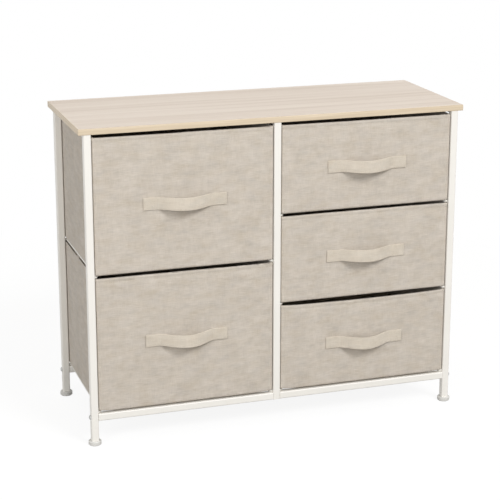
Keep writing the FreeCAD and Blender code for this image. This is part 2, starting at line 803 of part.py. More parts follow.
def make_pull(drawer, x, z):
    """Strap seen from above: two flat tabs on the bin's front and a bow between them."""
    body = new_body(f"{drawer}_pull")
    profile = new_sketch(body, "XY_Plane", "profile")
    half_length = value("sizes.pull_length") / 2
    thickness = value("sizes.pull_thickness")
    inner = value(PULL_INNER_RADIUS)
    outer = value(PULL_OUTER_RADIUS)
    centre_y = value(PULL_ARC_CENTRE)
    chord = value(PULL_HALF_CHORD)
    outer_chord = (outer ** 2 - (centre_y + thickness) ** 2) ** 0.5
    inner_arc = profile.addGeometry(
        Part.Arc(Vector(-chord, 0, 0), Vector(0, centre_y - inner, 0), Vector(chord, 0, 0)),
        False,
    )
    outer_arc = profile.addGeometry(
        Part.Arc(
            Vector(-outer_chord, -thickness, 0),
            Vector(0, centre_y - outer, 0),
            Vector(outer_chord, -thickness, 0),
        ),
        False,
    )
    for arc, radius in ((inner_arc, PULL_INNER_RADIUS), (outer_arc, PULL_OUTER_RADIUS)):
        place_point(profile, arc, CENTRE, None, PULL_ARC_CENTRE)
        bind(profile, "Radius", arc, size=radius)
    for sign, arc_point in ((-1, START), (1, END)):
        backs = [Vector(sign * chord, 0, 0), Vector(sign * half_length, 0, 0)]
        fronts = [
            Vector(sign * half_length, -thickness, 0),
            Vector(sign * outer_chord, -thickness, 0),
        ]
        back = profile.addGeometry(Part.LineSegment(*backs), False)
        edge = profile.addGeometry(Part.LineSegment(backs[1], fronts[0]), False)
        front = profile.addGeometry(Part.LineSegment(*fronts), False)
        profile.addConstraint(Sketcher.Constraint("Coincident", inner_arc, arc_point, back, START))
        profile.addConstraint(Sketcher.Constraint("Coincident", back, END, edge, START))
        profile.addConstraint(Sketcher.Constraint("Coincident", edge, END, front, START))
        profile.addConstraint(Sketcher.Constraint("Coincident", front, END, outer_arc, arc_point))
        profile.addConstraint(Sketcher.Constraint("PointOnObject", back, START, H_AXIS))
        profile.addConstraint(Sketcher.Constraint("Horizontal", back))
        profile.addConstraint(Sketcher.Constraint("Vertical", edge))
        profile.addConstraint(Sketcher.Constraint("Horizontal", front))
        place_point(profile, edge, END, f"({sign} * sizes.pull_length / 2)", "-sizes.pull_thickness")
    pad(body, profile, "sizes.pull_width", both_ways=True)
    place(body, x, BIN_FRONT, z)
    return body


for drawer, column, level, count in DRAWERS:
    middle_x = mirrored_x(column, COLUMN_X)
    bottom_z = bin_bottom(level, count)
    height = bin_height(count)
    nodes.append(make_bin(drawer, middle_x, bottom_z, height))
    nodes.append(make_cards(drawer, middle_x, bottom_z, height))
    nodes.append(make_base_board(drawer, middle_x, bottom_z))
    nodes.append(make_pull(drawer, middle_x, f"({bottom_z} + {height} / 2)"))

# --------------------------------------------------------------------------------------------
# Check and write
# --------------------------------------------------------------------------------------------

doc.recompute()
failed = [item.Name for item in doc.Objects if {"Invalid", "Error"} & set(item.State)]
if failed:
    raise RuntimeError(f"objects that did not build: {failed}")
for node in nodes:
    if node.Shape.isNull() or not node.Shape.isValid() or not node.Shape.Solids:
        raise RuntimeError(f"{node.Label} has no valid shape")

os.makedirs("parts", exist_ok=True)
for node in nodes:
    node.Shape.exportStep(f"parts/{node.Label}.step")
    box = node.Shape.BoundBox
    print(
        f"{node.Label}: {len(node.Shape.Solids)} solid(s), {node.Shape.Volume / 1000:.1f} cm3, "
        f"x {box.XMin:.1f}..{box.XMax:.1f} y {box.YMin:.1f}..{box.YMax:.1f} "
        f"z {box.ZMin:.1f}..{box.ZMax:.1f}"
    )
print(f"{len(nodes)} nodes")
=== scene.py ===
# %% [markdown]
# A fabric drawer dresser
#
# The dresser is a white steel frame with a light oak panel on top and five sewn fabric bins
# that slide on bent rods. The steel, the rods and the feet arrive as finished solids, so they
# only need a finish. Cloth is another matter: a bin has walls that belly a little, a rolled
# hem and rows of thread, and a pull is a strap that bows. Those pieces are modelled here.

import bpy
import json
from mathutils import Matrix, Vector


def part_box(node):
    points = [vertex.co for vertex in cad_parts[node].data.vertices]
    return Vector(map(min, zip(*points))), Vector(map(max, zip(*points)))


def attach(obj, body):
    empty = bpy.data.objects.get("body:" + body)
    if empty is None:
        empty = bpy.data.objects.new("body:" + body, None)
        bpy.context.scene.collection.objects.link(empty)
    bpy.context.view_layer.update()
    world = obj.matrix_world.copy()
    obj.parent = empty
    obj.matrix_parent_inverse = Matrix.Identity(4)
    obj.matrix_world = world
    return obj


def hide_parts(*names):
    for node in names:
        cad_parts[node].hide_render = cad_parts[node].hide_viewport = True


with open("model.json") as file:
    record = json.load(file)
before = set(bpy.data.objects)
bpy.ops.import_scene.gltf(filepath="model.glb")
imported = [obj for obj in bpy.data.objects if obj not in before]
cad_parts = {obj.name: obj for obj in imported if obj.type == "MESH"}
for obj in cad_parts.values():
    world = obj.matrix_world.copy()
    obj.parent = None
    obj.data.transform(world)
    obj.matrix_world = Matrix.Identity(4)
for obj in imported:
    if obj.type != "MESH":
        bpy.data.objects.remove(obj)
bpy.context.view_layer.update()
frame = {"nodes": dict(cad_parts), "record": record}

# %% [markdown]
# Tools and units
#
# bmesh is Blender's own mesh editor for scripts. Everything is in metres, so MM turns a size
# in millimetres, as a maker reads it off a rule, into one that Blender uses.

# %% Tools and units
import json
import math

import bmesh
import bpy
from mathutils import Matrix, Vector, noise
from mathutils.bvhtree import BVHTree

MM = 0.001
LEFT_RIGHT, FRONT_BACK, UP_DOWN = range(3)
DRAWERS = ["upper_left", "lower_left", "upper_right", "middle_right", "lower_right"]

# %% [markdown]
# Colours
#
# A colour picked on a screen is stored in sRGB, and the shader wants linear light. Writing
# the screen numbers and turning them into linear ones once, here, keeps them readable.

# %% Turn screen colours into light
def paint(red, green, blue):
    """A linear colour with alpha from three screen values between 0 and 255."""
    shares = [value / 255 for value in (red, green, blue)]
    linear = [s / 12.92 if s <= 0.04045 else ((s + 0.055) / 1.055) ** 2.4 for s in shares]
    return (*linear, 1.0)


coat_white = paint(239, 236, 230)
print("white powder coat in linear light:", [round(c, 3) for c in coat_white])

# %% [markdown]
# Shader sums
#
# A finish is a small network of nodes. To read like a sum, one class stands for a node's
# output and turns +, - and * into Math nodes. Another holds the material, and its node() adds
# any other node: first the settings, then what goes into its sockets.

# %% Write shader maths as sums
class Signal:
    """One node's output; sums with it add Math nodes."""

    def __init__(self, finish, socket):
        self.finish = finish
        self.socket = socket

    def __add__(self, other):
        return self.finish.math("ADD", self, other)

    def __sub__(self, other):
        return self.finish.math("SUBTRACT", self, other)

    def __rsub__(self, other):
        return self.finish.math("SUBTRACT", other, self)

    def __mul__(self, other):
        return self.finish.math("MULTIPLY", self, other)

    def __abs__(self):
        return self.finish.math("ABSOLUTE", self)

    __radd__ = __add__
    __rmul__ = __mul__


class Finish:
    """A material, or the world, while its nodes are being added."""

    def __init__(self, owner, **constants):
        owner.use_nodes = True
        self.owner = owner
        self.tree = owner.node_tree
        self.shader = self.tree.nodes.get("Principled BSDF")
        for name, value in constants.items():
            self.shader.inputs[name.replace("_", " ")].default_value = value

    def node(self, kind, settings=None, sockets=None, output=0):
        made = self.tree.nodes.new(kind)
        for name, value in (settings or {}).items():
            if name == "stops":
                self.set_stops(made.color_ramp, value)
            else:
                setattr(made, name, value)
        for name, value in (sockets or {}).items():
            self.feed(made.inputs[name], value)
        return Signal(self, made.outputs[output])

    def set_stops(self, ramp, stops):
        while len(ramp.elements) < len(stops):
            ramp.elements.new(1.0)
        for element, (place, colour) in zip(ramp.elements, stops):
            element.position = place
            element.color = colour

    def feed(self, socket, value):
        if isinstance(value, Signal):
            self.tree.links.new(value.socket, socket)
        else:
            socket.default_value = value

    def math(self, operation, *values):
        return self.node("ShaderNodeMath", {"operation": operation}, dict(enumerate(values)))

    def limit(self, value):
        """The value, kept between 0 and 1."""
        return self.node("ShaderNodeClamp", sockets={"Value": value})

    def between(self, share, first, second):
        """A colour from first to second, as share goes from 0 to 1."""
        sockets = {0: share, 6: first, 7: second}
        return self.node("ShaderNodeMix", {"data_type": "RGBA"}, sockets, output=2)

    def place(self):
        """Where a point lies on the object, in metres."""
        return self.node("ShaderNodeTexCoord", output="Object")

    def pattern(self):
        """Where a point lies on the piece's own flat pattern, in metres."""
        return self.node("ShaderNodeUVMap", {"uv_map": "pattern"})

    def grains(self, vector, per_metre, detail=2.0, roughness=0.5):
        """Noise with its own number of grains per metre along each direction."""
        stretched = self.node("ShaderNodeMapping", sockets={"Vector": vector, "Scale": per_metre})
        sockets = {"Vector": stretched, "Scale": 1.0, "Detail": detail, "Roughness": roughness}
        return self.node("ShaderNodeTexNoise", sockets=sockets)

    def relief(self, height, depth, under=None):
        """Bumps of that height, times a depth in metres, over another relief."""
        sockets = {"Height": height, "Distance": depth}
        if under is not None:
            sockets["Normal"] = under
        return self.node("ShaderNodeBump", sockets=sockets)

    def wear(self, **signals):
        """Feeds the shader's own sockets with what changes over the surface."""
        for name, value in signals.items():
            self.feed(self.shader.inputs[name.replace("_", " ")], value)
        print("finish", self.owner.name, "has", len(self.tree.nodes), "nodes")
        return self.owner


def new_finish(name, **constants):
    return Finish(bpy.data.materials.new(name), **constants)


# %% [markdown]
# Linen-look cloth
#
# The bins are sewn from a plain weave with uneven yarns: some run thick, some thin, some a
# shade darker. Two stretched noises, one along each yarn direction, make the slubs, two coarser
# ones the streaks, and a slow one the clouds. One more picks whether the dark yarns are greyish
# or brownish. The weave itself is a product of two sine waves, which rises where one yarn
# passes over the other. It reads the piece's flat pattern, so the yarns follow every wall.

# %% Weave the linen and the strap
def weave(name, pale, greyish, brownish, yarn, slub_strength, sheen):
    """A plain weave of uneven yarns, from its three yarn colours and the yarn's width."""
    cloth = new_finish(name, Specular_IOR_Level=0.15, Sheen_Weight=sheen, Sheen_Roughness=0.5)
    flat = cloth.pattern()
    across = cloth.node("ShaderNodeSeparateXYZ", sockets={0: flat}, output="X")
    upward = cloth.node("ShaderNodeSeparateXYZ", sockets={0: flat}, output="Y")
    warp = cloth.math("SINE", across * (math.pi / yarn))
    weft = cloth.math("SINE", upward * (math.pi / yarn))
    over = warp * weft * 0.5 + 0.5
    crossings = abs(warp) * over + abs(weft) * (1 - over)
    weft_slubs = cloth.grains(flat, (60, 560, 1), detail=3)
    warp_slubs = cloth.grains(flat, (560, 60, 1), detail=3)
    weft_streaks = cloth.grains(flat, (28, 80, 1))
    warp_streaks = cloth.grains(flat, (110, 34, 1))
    clouds = cloth.grains(flat, (20, 17, 1), detail=3, roughness=0.55)
    hues = cloth.limit((cloth.grains(flat, (30, 60, 1)) - 0.5) * 2.5 + 0.5)
    yarns = (weft_slubs * 1.1 + warp_slubs * 0.6 - 0.85) * slub_strength
    streaks = (weft_streaks * 0.95 + warp_streaks * 0.35 - 0.65) * slub_strength
    # painted shade: the weave's height also pales the yarns' tops and darkens the gaps between
    # them
    tone = cloth.limit(yarns + streaks + (clouds - 0.5) * 0.75 + crossings * 0.3 + 0.3)
    slub_relief = cloth.relief(weft_slubs + warp_slubs, 0.35 * MM)
    weave_relief = cloth.relief(crossings, 0.22 * MM, slub_relief)
    return cloth.wear(
        Base_Color=cloth.between(tone, cloth.between(hues, greyish, brownish), pale),
        Roughness=0.85 + clouds * 0.12,
        Normal=weave_relief,
    )


linen_yarns = [paint(217, 208, 197), paint(188, 180, 170), paint(191, 179, 162)]
strap_yarns = [paint(225, 215, 201), paint(199, 191, 178), paint(201, 189, 171)]
linen = weave("linen_weave", *linen_yarns, yarn=0.8 * MM, slub_strength=1.0, sheen=0.2)
strap_cloth = weave("strap_weave", *strap_yarns, yarn=0.7 * MM, slub_strength=0.8, sheen=0.2)

# %% [markdown]
# Lining and thread
#
# The inside is a cheaper bonded cloth: matted fibres pressed together at a grid of small
# dots. A Voronoi texture with no randomness gives that grid. The sewing thread is two plies
# twisted together, which a slanted wave along it shows.

# %% Bond the lining and twist the thread
def bonded_cloth(name, pale, dark, dot):
    """Matted fibres, pressed flat at a grid of dots."""
    cloth = new_finish(name, Specular_IOR_Level=0.2, Sheen_Weight=0.1)
    flat = cloth.pattern()
    grid = {"Vector": flat, "Scale": 1 / dot, "Randomness": 0.0}
    distance = cloth.node("ShaderNodeTexVoronoi", {"voronoi_dimensions": "2D"}, grid)
    pressed = cloth.limit((0.36 - distance) * 6)
    fibres = cloth.grains(flat, (900, 900, 1), detail=4, roughness=0.7)
    clouds = cloth.grains(flat, (14, 14, 1), detail=3)
    tone = cloth.limit(fibres * 0.6 + (clouds - 0.5) * 0.6 + 0.25 - pressed * 0.25)
    soft = cloth.relief(fibres - pressed * 0.8, 0.2 * MM)
    return cloth.wear(
        Base_Color=cloth.between(tone, dark, pale),
        Roughness=0.92 - pressed * 0.2,
        Normal=soft,
    )


def twisted_thread(name, pale, dark, twist):
    """Two plies of thread, wound round each other."""
    thread = new_finish(name, Specular_IOR_Level=0.3, Sheen_Weight=0.2)
    settings = {"bands_direction": "DIAGONAL"}
    sockets = {"Vector": thread.place(), "Scale": twist}
    plies = thread.node("ShaderNodeTexWave", settings, sockets, output="Fac")
    # painted shade: the wave darkens the grooves between the plies, where the bump dips
    return thread.wear(
        Base_Color=thread.between(plies, dark, pale),
        Roughness=0.75 + plies * 0.1,
        Normal=thread.relief(plies, 0.08 * MM),
    )


lining = bonded_cloth("bonded_lining", paint(222, 214, 202), paint(190, 180, 166), dot=1.6 * MM)
thread = twisted_thread("sewing_thread", paint(232, 223, 208), paint(196, 184, 165), twist=450.0)

# %% [markdown]
# Oak foil and edge strip
#
# The top is a particle board under a printed foil: washed oak with long straight streaks.
# Noise that is stretched along the board gives streaks, and a second, finer one gives pores.
# A little slow noise bends the grain, since no tree grows ruler-straight. The strip round the
# edge is a plastic one with its own print, yellower and plainer, and its lines run along it.

# %% Print the oak foil and the edge strip
def oak_foil(name, pale, middle, dark):
    """Washed oak, its grain along X."""
    foil = new_finish(name, Specular_IOR_Level=0.35)
    place = foil.place()
    drift = foil.grains(place, (1.6, 5, 5), detail=1)
    bent = foil.node("ShaderNodeCombineXYZ", sockets={"Y": (drift - 0.5) * 0.05})
    grain = foil.node("ShaderNodeVectorMath", {"operation": "ADD"}, {0: place, 1: bent})
    bands = foil.grains(grain, (1.1, 34, 34), detail=2)
    lines = foil.grains(grain, (4, 330, 330), detail=3)
    pores = foil.grains(grain, (28, 1300, 1300), detail=1)
    open_pores = foil.limit((0.40 - pores) * 9)
    print_tone = foil.limit((bands - 0.5) * 1.7 + (lines - 0.5) * 0.9 + 0.55)
    stops = [(0.0, dark), (0.5, middle), (1.0, pale)]
    washed = foil.node("ShaderNodeValToRGB", {"stops": stops}, {"Fac": print_tone})
    return foil.wear(
        Base_Color=foil.between(open_pores * 0.25, washed, dark),
        Roughness=0.46 + open_pores * 0.2 + (lines - 0.5) * 0.15,
        Normal=foil.relief(lines * 0.4 - open_pores * 0.5, 0.06 * MM),
    )


def edge_strip(name, pale, dark):
    """A printed strip whose lines run along it."""
    strip = new_finish(name, Specular_IOR_Level=0.4)
    flat = strip.pattern()
    bands = strip.grains(flat, (5, 260, 1), detail=2)
    lines = strip.grains(flat, (14, 1100, 1), detail=3)
    tone = strip.limit((bands - 0.5) * 2 + (lines - 0.5) * 1.2 + 0.5)
    return strip.wear(
        Base_Color=strip.between(tone, dark, pale),
        Roughness=0.42 + (lines - 0.5) * 0.2,
        Normal=strip.relief(lines, 0.04 * MM),
    )


oak = oak_foil("washed_oak", paint(233, 221, 208), paint(224, 210, 196), paint(204, 188, 171))
edging = edge_strip("oak_edging", paint(224, 208, 184), paint(203, 185, 158))

# %% [markdown]
# Powder coat, zinc and moulded plastic
#
# Powder coat melts into a skin with a faint orange peel, so its bumps are a millimetre or two
# wide and very shallow. Zinc plating is metal with cloudy patches, and a moulded foot has a
# fine spark-eroded grain. On such plain parts the roughness does most of the work.

# %% Coat the steel, plate the bolts and mould the plastic
def powder_coat(name, colour, shade):
    """A baked skin of paint with a faint orange peel."""
    coat = new_finish(name, Specular_IOR_Level=0.5, Coat_Weight=0.15, Coat_Roughness=0.25)
    place = coat.place()
    peel = coat.grains(place, (620, 620, 620), detail=1)
    fine = coat.grains(place, (2400, 2400, 2400), detail=1)
    dust = coat.grains(place, (9, 9, 9), detail=4)
    return coat.wear(
        Base_Color=coat.between(coat.limit((dust - 0.45) * 2), colour, shade),
        Roughness=0.34 + dust * 0.2,
        Normal=coat.relief(peel + fine * 0.3, 0.05 * MM),
    )


def zinc_plate(name, bright, dull):
    """Plated metal, cloudy and a little scuffed."""
    plate = new_finish(name, Metallic=1.0)
    place = plate.place()
    clouds = plate.grains(place, (700, 700, 700), detail=4)
    scuffs = plate.grains(place, (300, 2600, 2600), detail=2)
    return plate.wear(
        Base_Color=plate.between(clouds, bright, dull),
        Roughness=0.3 + clouds * 0.25,
        Normal=plate.relief(scuffs, 0.03 * MM),
    )


def moulded(name, colour, shade):
    """Plastic from a mould with a spark-eroded grain."""
    plastic = new_finish(name, Specular_IOR_Level=0.45)
    place = plastic.place()
    spark = plastic.grains(place, (1800, 1800, 1800), detail=2)
    flow = plastic.grains(place, (60, 60, 60), detail=3)
    return plastic.wear(
        Base_Color=plastic.between(flow, colour, shade),
        Roughness=0.45 + spark * 0.2,
        Normal=plastic.relief(spark, 0.04 * MM),
    )


white_coat = powder_coat("white_powder_coat", coat_white, paint(232, 229, 222))
zinc = zinc_plate("zinc_plating", paint(205, 205, 203), paint(168, 168, 166))
grey_plastic = moulded("moulded_grey", paint(222, 221, 217), paint(210, 208, 204))

# %% [markdown]
# Finish the steel frame
#
# These solids already have the right shape, down to the rounded corners of the tubes, so each
# only gets its material. Changing the material slot leaves the mesh as it was packed.

# %% Give each solid of the frame its finish
FINISH_OF_SLOT = {
    "wood_top": oak,
    "wood_edge": edging,
    "white_steel": white_coat,
    "zinc_steel": zinc,
    "plastic": grey_plastic,
    "linen_fabric": linen,
    "strap_fabric": strap_cloth,
    "card": lining,
    "board_card": lining,
}
for part in frame["record"]["subparts"]:
    solid = frame["nodes"][part["node"]]
    solid.data.materials.clear()
    solid.data.materials.append(FINISH_OF_SLOT[part["material_slot"]])

# %% [markdown]
# Shared steps for a new piece
#
# Most new pieces go the same way: a block, some cuts, a bevel, a flat pattern for the cloth,
# and then an object that rides on its body. The pattern is laid by the way a face points:
# walls take their height as one direction, and floors take the depth.

# %% Blocks, cuts and bevels
CREASE_ANGLE = 1.0  # radians; two faces that meet at a corner turn by more than this
CUT_TOLERANCE = 1e-7
FACES_UP = 0.5  # a normal whose Z is larger than this points up


def block(low, high):
    """A box in a new bmesh, from its lowest to its highest corner."""
    bm = bmesh.new()
    bmesh.ops.create_cube(bm, size=1.0)
    bmesh.ops.scale(bm, vec=high - low, verts=bm.verts)
    bmesh.ops.translate(bm, vec=(high + low) / 2, verts=bm.verts)
    bm.normal_update()
    return bm


def cut_at(bm, axis, places):
    """Cuts every face at these places along an axis."""
    for place in places:
        point = Vector((0, 0, 0))
        point[axis] = place
        normal = Vector((0, 0, 0))
        normal[axis] = 1
        everything = bm.verts[:] + bm.edges[:] + bm.faces[:]
        bmesh.ops.bisect_plane(
            bm, geom=everything, plane_co=point, plane_no=normal, dist=CUT_TOLERANCE
        )


def round_off(bm, edges, radius, segments):
    """Bevels these edges round."""
    bmesh.ops.bevel(
        bm,
        geom=edges,
        offset=radius,
        offset_type="OFFSET",
        segments=segments,
        profile=0.5,
        affect="EDGES",
        material=-1,
        clamp_overlap=True,
    )


def creases(bm):
    """Edges where two faces meet at a corner."""
    shared = [edge for edge in bm.edges if len(edge.link_faces) == 2]
    return [edge for edge in shared if edge.calc_face_angle() > CREASE_ANGLE]


# %% Flat pattern and object
def lay_pattern(bm):
    """Gives every face its place on a flat pattern, in metres."""
    layer = bm.loops.layers.uv.new("pattern")
    for face in bm.faces:
        facing = [abs(share) for share in face.normal]
        axis = facing.index(max(facing))
        first = FRONT_BACK if axis == LEFT_RIGHT else LEFT_RIGHT
        second = FRONT_BACK if axis == UP_DOWN else UP_DOWN
        for loop in face.loops:
            loop[layer].uv = (loop.vert.co[first], loop.vert.co[second])


def make_piece(name, bm, finishes, body, slot, *nodes):
    """Turns the bmesh into a piece that rides on a body and stands for some solids."""
    bm.normal_update()
    lay_pattern(bm)
    for face in bm.faces:
        face.smooth = True
    mesh = bpy.data.meshes.new(name)
    bm.to_mesh(mesh)
    bm.free()
    for finish in finishes:
        mesh.materials.append(finish)
    piece = bpy.data.objects.new(name, mesh)
    bpy.context.scene.collection.objects.link(piece)
    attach(piece, body)
    if nodes:
        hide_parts(*nodes)
    print(name, "has", len(mesh.polygons), "faces")


# %% [markdown]
# The strip round the panel
#
# The edge strip is a millimetre of plastic, trimmed flush and then eased with a scraper, so
# its long edges are rounded. That small radius is what catches the light along the front of
# the top. A block without top and bottom, given a wall and then a bevel, is such a strip.

# %% Bend the edge strip round the panel
strip_low, strip_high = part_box("edge_band")
core_low, core_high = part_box("tabletop")
strip_wall = core_low.x - strip_low.x
EASED_EDGE = 0.7 * MM


def on_the_outside(vert):
    """Whether a point is on the strip's outer face, and not where it meets the panel."""
    beside = abs(vert.co.x) > core_high.x + strip_wall / 2
    before = vert.co.y < core_low.y - strip_wall / 2
    behind = vert.co.y > core_high.y + strip_wall / 2
    return beside or before or behind


def edge_strip_ring():
    """A wall round the panel, with its outer edges eased."""
    bm = block(strip_low, strip_high)
    ends = [face for face in bm.faces if abs(face.normal.z) > FACES_UP]
    bmesh.ops.delete(bm, geom=ends, context="FACES_ONLY")
    bmesh.ops.solidify(bm, geom=bm.faces[:], thickness=strip_wall)
    bm.normal_update()
    outer = [edge for edge in creases(bm) if all(on_the_outside(v) for v in edge.verts)]
    round_off(bm, outer, EASED_EDGE, segments=3)
    return bm


make_piece("panel_edge_strip", edge_strip_ring(), [edging], "frame", "wood_edge", "edge_band")
print("strip wall, mm:", round(strip_wall / MM, 2))

# %% [markdown]
# The fabric bins
#
# Each bin is cloth sewn over card. It could be sewn in a cloth simulation, but card walls
# hardly move, so a block with rounded corners and dense cuts does, and a few small, smooth
# pushes make it soft: a belly, slow dents, a roll along the hem and a groove where the thread
# pulls the cloth in. The inside is a second block, joined to the first at the rim.

# %% Sizes of the sewing
WALL = 4.0 * MM
FLOOR = 1.5 * MM
CORNER = 4.3 * MM
INNER_CORNER = 1.0 * MM
CUT_SPACING = 9.0 * MM
HAIR = 0.1 * MM  # closer than this counts as on the surface
PLUMP = 0.8 * MM  # how far the cloth stands out on the left and on the right
SEAM_INSET = 6.0 * MM
SEAM_CUT = 1.5 * MM  # how far the extra cuts lie on both sides of a seam
HEM_HEIGHT = 8.0 * MM
RIM_ROUNDING = 1.6 * MM
RIM_TOLERANCE = 1e-6
ROLL_CENTRE = 2.2 * MM  # how far below the rim the hem's roll stands out most
ROLL_CUT = 4.5 * MM  # an extra cut on the roll's lower slope
ROLL_WIDTH = 4.0 * MM
GROOVE_WIDTH = 2.0 * MM

# %% Sizes of what makes the walls soft
BELLY = 0.7 * MM
DENTS = 0.8 * MM
DENTS_PER_METRE = 14
RIPPLES = 0.35 * DENTS
RIPPLES_PER_METRE = 55
ROLL = 0.5 * MM
GROOVE = 0.5 * MM
RIM_WAVE = 0.5 * MM
RIM_WAVES_PER_METRE = 9
NOISE_LAYER = 7.3  # how far apart two seeds read the noise
UNDERSIDE_SAG = 2.7 * MM  # of the lowest bins' front and rear walls
LOWEST_BINS = ["lower_left", "lower_right"]
RIM_SAG = {
    "upper_left": 0.4 * MM,
    "lower_left": 0.3 * MM,
    "upper_right": 0.4 * MM,
    "middle_right": -0.4 * MM,
    "lower_right": 3.2 * MM,
}


def spaced(low, high, near_ends):
    """Even cuts between two places, and closer ones at given distances from the ends."""
    count = round((high - low) / CUT_SPACING)
    even = [low + (high - low) * k / count for k in range(1, count)]
    clear = max(near_ends) * 1.3  # keeps the even cuts off the closer ones
    middle = [place for place in even if low + clear < place < high - clear]
    return [low + d for d in near_ends] + middle + [high - d for d in near_ends]


# %% Cut the open boxes and join them at the rim
def open_box(low, high, corner, segments, places):
    """A box without a lid, cut at the given places and rounded at its corners."""
    bm = block(low, high)
    lid = [face for face in bm.faces if face.normal.z > FACES_UP]
    bmesh.ops.delete(bm, geom=lid, context="FACES_ONLY")
    for axis, cuts in enumerate(places):
        cut_at(bm, axis, cuts)
    bm.normal_update()
    round_off(bm, creases(bm), corner, segments)
    return bm


def bin_shell(low, high):
    """The bin's outside and inside, joined by a rounded rim. Inside faces get finish 1."""
    seams = [SEAM_INSET - SEAM_CUT, SEAM_INSET, SEAM_INSET + SEAM_CUT]
    hems = [ROLL_CENTRE, ROLL_CUT, HEM_HEIGHT - SEAM_CUT, HEM_HEIGHT, HEM_HEIGHT + SEAM_CUT]
    sides = [spaced(low[axis], high[axis], seams) for axis in (LEFT_RIGHT, FRONT_BACK)]
    above_corner = low.z + CORNER * 1.4  # leaves room for the rounded edge
    heights = [z for z in spaced(low.z, high.z, hems) if z > above_corner]
    outside = open_box(low, high, CORNER, segments=4, places=[*sides, heights])
    inner_low = low + Vector((WALL, WALL, FLOOR))
    inner_high = high - Vector((WALL, WALL, 0))
    inside = open_box(inner_low, inner_high, INNER_CORNER, segments=3, places=[*sides, heights])
    bmesh.ops.reverse_faces(inside, faces=inside.faces[:])
    for face in inside.faces:
        face.material_index = 1
    spare = bpy.data.meshes.new("inside")
    inside.to_mesh(spare)
    inside.free()
    outside.from_mesh(spare)
    bpy.data.meshes.remove(spare)
    rims = [edge for edge in outside.edges if edge.is_boundary]
    bmesh.ops.bridge_loops(outside, edges=rims)
    outside.normal_update()
    rim = high.z - RIM_TOLERANCE
    rim_edges = [edge for edge in creases(outside) if all(v.co.z > rim for v in edge.verts)]
    round_off(outside, rim_edges, RIM_ROUNDING, segments=3)
    return outside


# %% Push the walls soft
def bump_shape(distance, width):
    """1 at no distance, falling smoothly to 0 at the given width."""
    share = max(0.0, 1 - (distance / width) ** 2)
    return share * share


def slow_dents(first, second, seed, per_metre):
    """Smooth noise between about -1 and 1, the same on each run."""
    return noise.noise(Vector((first * per_metre, second * per_metre, seed * NOISE_LAYER)))


def soften(bm, low, high, seed, sag, underside_sag):
    """Moves the walls' points by a belly, dents, the hem's roll and the seams' grooves."""
    centre = (low + high) / 2
    half = (high - low) / 2
    for vert in bm.verts:
        place = vert.co.copy()
        height = (place.z - low.z) / (high.z - low.z)
        off_floor = min(1.0, height * 20)  # 0 at the floor, 1 from a twentieth of the way up
        off_base = min(1.0, height * 8)  # 0 at the floor, 1 from an eighth of the way up
        near_floor = max(0.0, 1 - height * 12)  # 1 at the floor, 0 from a twelfth of the way up
        near_rim = max(0.0, height * 2 - 1)  # 0 up to halfway, 1 at the rim
        reach = [abs(place[a] - centre[a]) - half[a] for a in (LEFT_RIGHT, FRONT_BACK)]
        for axis, other in ((LEFT_RIGHT, FRONT_BACK), (FRONT_BACK, LEFT_RIGHT)):
            if reach[axis] < -WALL - HAIR:
                continue
            side = 1 if place[axis] > centre[axis] else -1
            along = abs(place[other] - centre[other]) / half[other]
            calm = (1 - along**6) * off_base
            up_the_belly = height * 0.9  # below 1, so that the rim stands out a little too
            swell = BELLY * (1 - along**2) * math.sin(math.pi * up_the_belly)
            spot = (place[other], place.z)
            dent = DENTS * slow_dents(*spot, seed + axis + side, DENTS_PER_METRE)
            ripple = RIPPLES * slow_dents(*spot, seed - axis + side, RIPPLES_PER_METRE)
            to_rim = high.z - place.z
            to_end = -reach[other]
            push = (swell + dent + ripple) * calm
            if reach[axis] > -WALL / 2:
                push += ROLL * bump_shape(to_rim - ROLL_CENTRE, ROLL_WIDTH)
                push -= GROOVE * bump_shape(to_rim - HEM_HEIGHT, GROOVE_WIDTH)
                push -= GROOVE * bump_shape(to_end - SEAM_INSET, GROOVE_WIDTH) * off_floor
            vert.co[axis] += side * push
        across = (place.x - centre.x) / half.x
        slack = max(0.0, 1 - across**4)
        wave = RIM_WAVE * slow_dents(place.x, place.y, seed + len(DRAWERS), RIM_WAVES_PER_METRE)
        vert.co.z -= (sag * slack + wave * slack) * near_rim
        hang = max(0.0, 1 - across**12) * near_floor
        if reach[FRONT_BACK] > -WALL / 2:
            vert.co.z -= underside_sag * hang


# %% [markdown]
# Thread
#
# A row of stitches is the same short, plump length of thread again and again, half sunk in
# the cloth. Each is a coarse ball, stretched between two points of the surface that a ray
# finds, so the row follows the belly and the grooves. Twenty faces are plenty for a shape
# half a millimetre thick.

# %% Sew a row of stitches
STITCH = 3.2 * MM
STITCH_PITCH = 4.2 * MM
THREAD_WIDTH = 0.6 * MM
LOWEST_STITCH = 5 * MM
RAY_START = 20 * MM
RAY_REACH = 4 * RAY_START


def sew(threads, cloth, start, end, towards, pitch=STITCH_PITCH):
    """Adds a row of stitches from start to end on the cloth that lies in a direction."""
    row = end - start
    along = row.normalized()
    count = max(1, int(row.length / pitch))
    for number in range(count):
        centre = start + row * ((number + 0.5) / count)
        ends = []
        for shift in (-0.5, 0.5):
            origin = centre + along * (shift * STITCH * pitch / STITCH_PITCH) - towards * RAY_START
            hit = cloth.ray_cast(origin, towards, RAY_REACH)[0]
            if hit is not None:
                ends.append(hit)
        if len(ends) < 2:
            continue
        span = ends[1] - ends[0]
        turn = span.to_track_quat("X", "Z").to_matrix().to_4x4()
        size = Matrix.Diagonal((span.length / 2, THREAD_WIDTH / 2, THREAD_WIDTH / 2, 1))
        place = Matrix.Translation((ends[0] + ends[1]) / 2) @ turn @ size
        bmesh.ops.create_icosphere(threads, subdivisions=1, radius=1.0, matrix=place)


